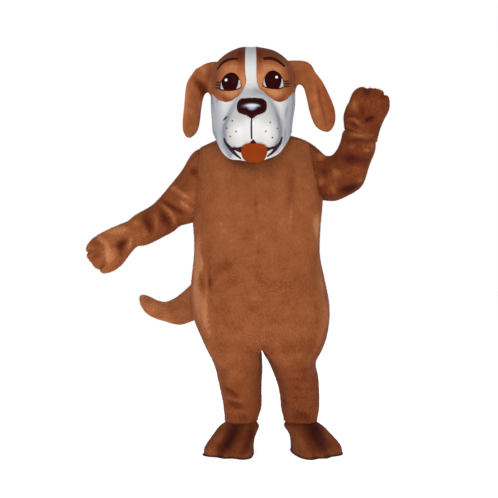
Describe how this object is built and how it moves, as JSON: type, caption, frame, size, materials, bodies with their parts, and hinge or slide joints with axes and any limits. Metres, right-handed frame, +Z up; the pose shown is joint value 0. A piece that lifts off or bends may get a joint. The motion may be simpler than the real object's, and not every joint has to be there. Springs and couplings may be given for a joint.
{
  "type": "dog mascot costume",
  "caption": "Plush dog mascot costume held in its worn pose: loose brown jumpsuit with tail, paw mitts, paw foot covers and a big moulded head with white muzzle, nose and hanging ears",
  "frame": {"origin": "in the middle of the suit's neck at the height of the wearer's shoulders, which carry the costume", "axes": "+Z up, the costume faces -Y, +X towards the wearer's left with the raised arm"},
  "size_m": [1.3545, 0.7409, 1.818],
  "materials": {
    "brown_plush": "short-pile rust brown plush on a woven backing",
    "white_plush": "short-pile white plush",
    "zip_tape": "dark woven zip tape",
    "zip_metal": "grey metal",
    "grip_sole": "matt dark brown grip sheet",
    "nose_gloss": "glossy dark maroon-black shell",
    "eye_gloss": "glossy dark dome",
    "mouth_cloth": "dark lining cloth",
    "tongue_felt": "smooth padded felt"
  },
  "bodies": {
    "suit": {"suit_front_right": "brown_plush", "suit_front_left": "brown_plush", "suit_back_right": "brown_plush", "suit_back_left": "brown_plush", "sleeve_right": "brown_plush", "sleeve_left": "brown_plush", "tail": "brown_plush", "zip_tape": "zip_tape", "zip_slider": "zip_metal", "mitt_right": "brown_plush", "mitt_left": "brown_plush", "foot_cover_right": "brown_plush", "foot_cover_left": "brown_plush", "foot_sole_right": "grip_sole", "foot_sole_left": "grip_sole"},
    "head": {"head_crown": "brown_plush", "head_face": "white_plush", "nose": "nose_gloss", "eye_right": "eye_gloss", "eye_left": "eye_gloss", "mouth_lining": "mouth_cloth", "tongue": "tongue_felt", "ear_right": "brown_plush", "ear_left": "brown_plush"},
    "zip_pull": {"zip_pull_tab": "zip_metal"}
  },
  "joints": [
    {"name": "head_lift", "type": "slide", "parent": "suit", "child": "head", "axis": [0, 0, 1], "range_m": [0, 0.6]},
    {"name": "zip_pull_swing", "type": "hinge", "parent": "suit", "child": "zip_pull", "pos_m": [-0.0011, 0.0959, 0.0286], "axis": [1, 0, 0], "range_deg": [0, 100]}
  ]
}
